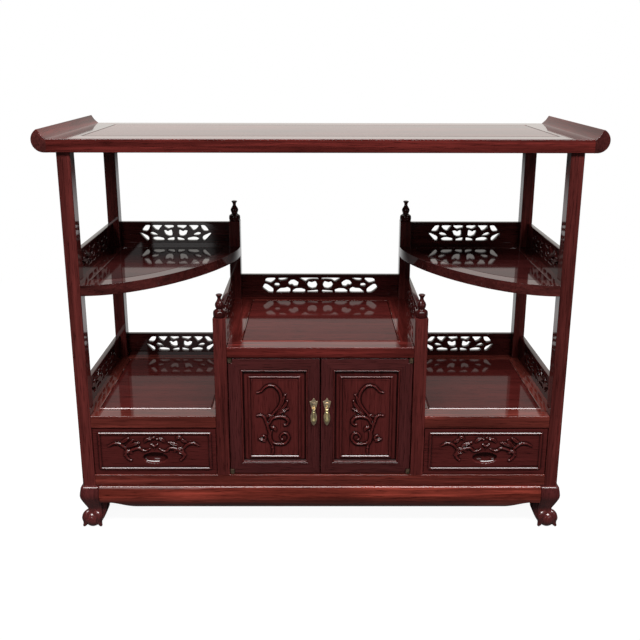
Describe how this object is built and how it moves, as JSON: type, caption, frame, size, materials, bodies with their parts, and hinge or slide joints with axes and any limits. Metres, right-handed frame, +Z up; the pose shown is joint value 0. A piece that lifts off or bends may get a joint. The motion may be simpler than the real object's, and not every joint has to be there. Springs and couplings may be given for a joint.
{
  "type": "chinese book cabinet",
  "caption": "Low rosewood display cabinet: quarter-round shelves with fretted galleries over a two-door cupboard and side drawers, flanged top, ball-and-claw feet.",
  "frame": {"origin": "centre of the cabinet's footprint on the floor", "axes": "+X to the right seen from the front, +Y to the back, +Z up"},
  "size_m": [1.076, 0.3518, 0.842],
  "materials": {
    "rosewood": "dark red-brown rosewood under clear gloss lacquer",
    "panel_wood": "flat-sawn rosewood panel under clear gloss lacquer",
    "inner_wood": "plain hardwood inside the case, thin matt finish",
    "brass": "aged cast brass, darkened in the hollows"
  },
  "bodies": {
    "cabinet": {"aprons": "rosewood", "back_panels": "inner_wood", "bottom_rails": "rosewood", "case_side_panels": "rosewood", "centre_back_gallery": "rosewood", "centre_shelf_panel": "panel_wood", "centre_shelf_rails": "rosewood", "centre_side_galleries": "rosewood", "corner_post_back_left": "rosewood", "corner_post_back_right": "rosewood", "corner_post_front_left": "rosewood", "corner_post_front_right": "rosewood", "door_stop": "inner_wood", "drawer_runners": "inner_wood", "feet": "rosewood", "finials": "rosewood", "floor_board": "inner_wood", "lower_back_gallery_left": "rosewood", "lower_back_gallery_right": "rosewood", "lower_shelf_panel_left": "panel_wood", "lower_shelf_panel_right": "panel_wood", "lower_shelf_rails_left": "rosewood", "lower_shelf_rails_right": "rosewood", "lower_side_galleries": "rosewood", "mid_post_back_left": "rosewood", "mid_post_back_right": "rosewood", "mid_post_front_left": "rosewood", "mid_post_front_right": "rosewood", "partitions": "rosewood", "top_end_rails": "rosewood", "top_flange_left": "rosewood", "top_flange_right": "rosewood", "top_panel": "panel_wood", "top_rail_back": "rosewood", "top_rail_front": "rosewood", "upper_back_gallery_left": "rosewood", "upper_back_gallery_right": "rosewood", "upper_shelf_curved_rail_left": "rosewood", "upper_shelf_curved_rail_right": "rosewood", "upper_shelf_panel_left": "panel_wood", "upper_shelf_panel_right": "panel_wood", "upper_shelf_rails_left": "rosewood", "upper_shelf_rails_right": "rosewood", "upper_side_galleries": "rosewood"},
    "door_left": {"door_left_frame": "rosewood", "door_left_panel": "panel_wood", "door_left_pivots": "brass", "door_left_pull_plate": "brass"},
    "drop_left": {"door_left_pull_drop": "brass"},
    "drawer_left": {"drawer_left_front": "rosewood", "drawer_left_box": "inner_wood"},
    "door_right": {"door_right_frame": "rosewood", "door_right_panel": "panel_wood", "door_right_pivots": "brass", "door_right_pull_plate": "brass"},
    "drop_right": {"door_right_pull_drop": "brass"},
    "drawer_right": {"drawer_right_front": "rosewood", "drawer_right_box": "inner_wood"}
  },
  "joints": [
    {"name": "door_left_hinge", "type": "hinge", "parent": "cabinet", "child": "door_left", "pos_m": [-0.1825, -0.16, 0.256], "axis": [0, 0, -1], "range_deg": [0, 95]},
    {"name": "drop_left_hinge", "type": "hinge", "parent": "door_left", "child": "drop_left", "pos_m": [-0.0135, -0.1691, 0.275], "axis": [-1, 0, 0], "range_deg": [0, 85]},
    {"name": "drawer_left_slide", "type": "slide", "parent": "cabinet", "child": "drawer_left", "axis": [0, -1, 0], "range_m": [0, 0.22]},
    {"name": "door_right_hinge", "type": "hinge", "parent": "cabinet", "child": "door_right", "pos_m": [0.1825, -0.16, 0.256], "axis": [0, 0, 1], "range_deg": [0, 95]},
    {"name": "drop_right_hinge", "type": "hinge", "parent": "door_right", "child": "drop_right", "pos_m": [0.0135, -0.1691, 0.275], "axis": [-1, 0, 0], "range_deg": [0, 85]},
    {"name": "drawer_right_slide", "type": "slide", "parent": "cabinet", "child": "drawer_right", "axis": [0, -1, 0], "range_m": [0, 0.22]}
  ]
}
